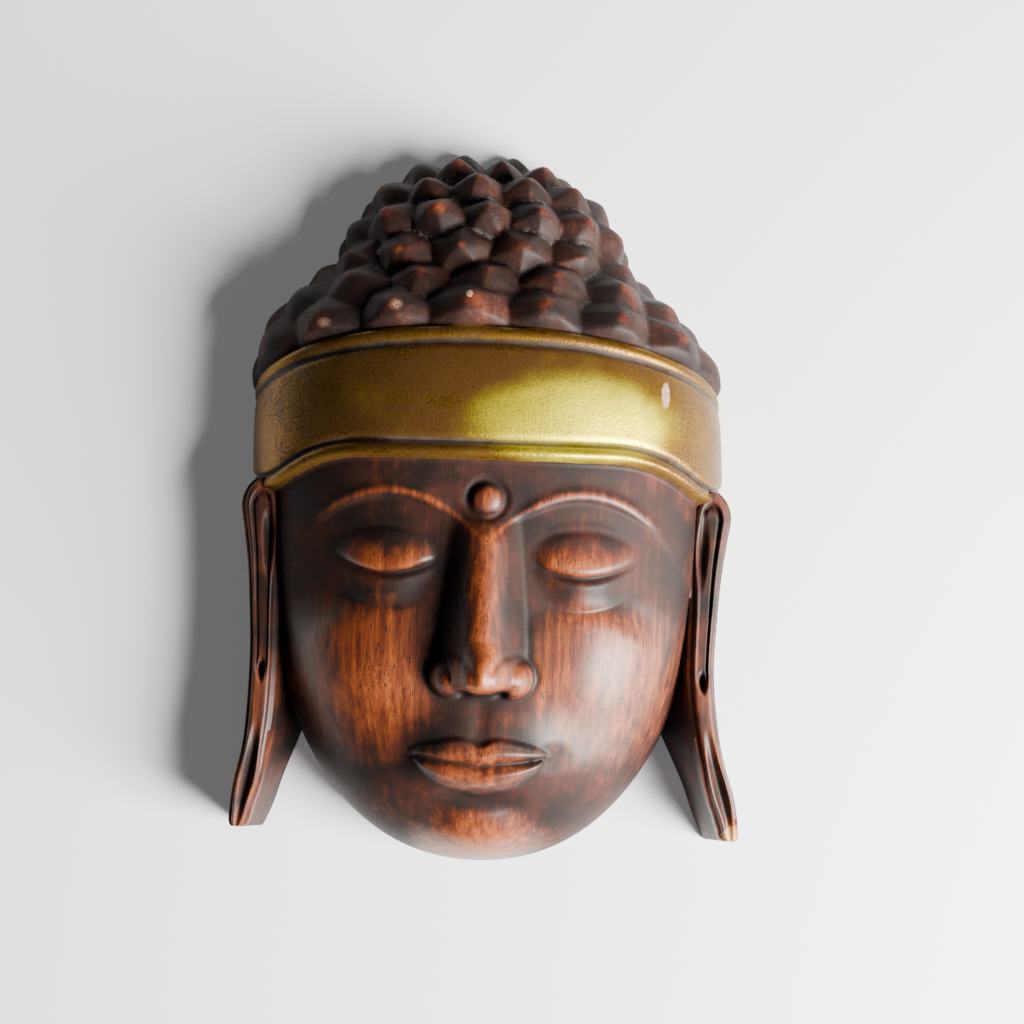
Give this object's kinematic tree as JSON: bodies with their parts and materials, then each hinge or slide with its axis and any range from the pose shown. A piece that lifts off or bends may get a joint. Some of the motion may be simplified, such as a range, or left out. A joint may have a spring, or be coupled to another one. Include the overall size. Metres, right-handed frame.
{
  "type": "wall mask",
  "caption": "Carved wooden wall mask of a calm face with closed eyes, hair knobs over a crown bump, a gold headband and long ear lobes.",
  "frame": {"origin": "middle of the bounding rectangle of the flat back, in the plane that lies on the wall or table", "axes": "+Z out of the wall, the way the face looks; +Y towards the crown; +X to the right of someone looking at the face"},
  "size_m": [0.2102, 0.3, 0.0968],
  "materials": {
    "stained_wood": "dark stain rubbed back to red brown, satin varnish, gold paint on the headband"
  },
  "bodies": {
    "root": {"carved_mask": "stained_wood"}
  },
  "joints": []
}
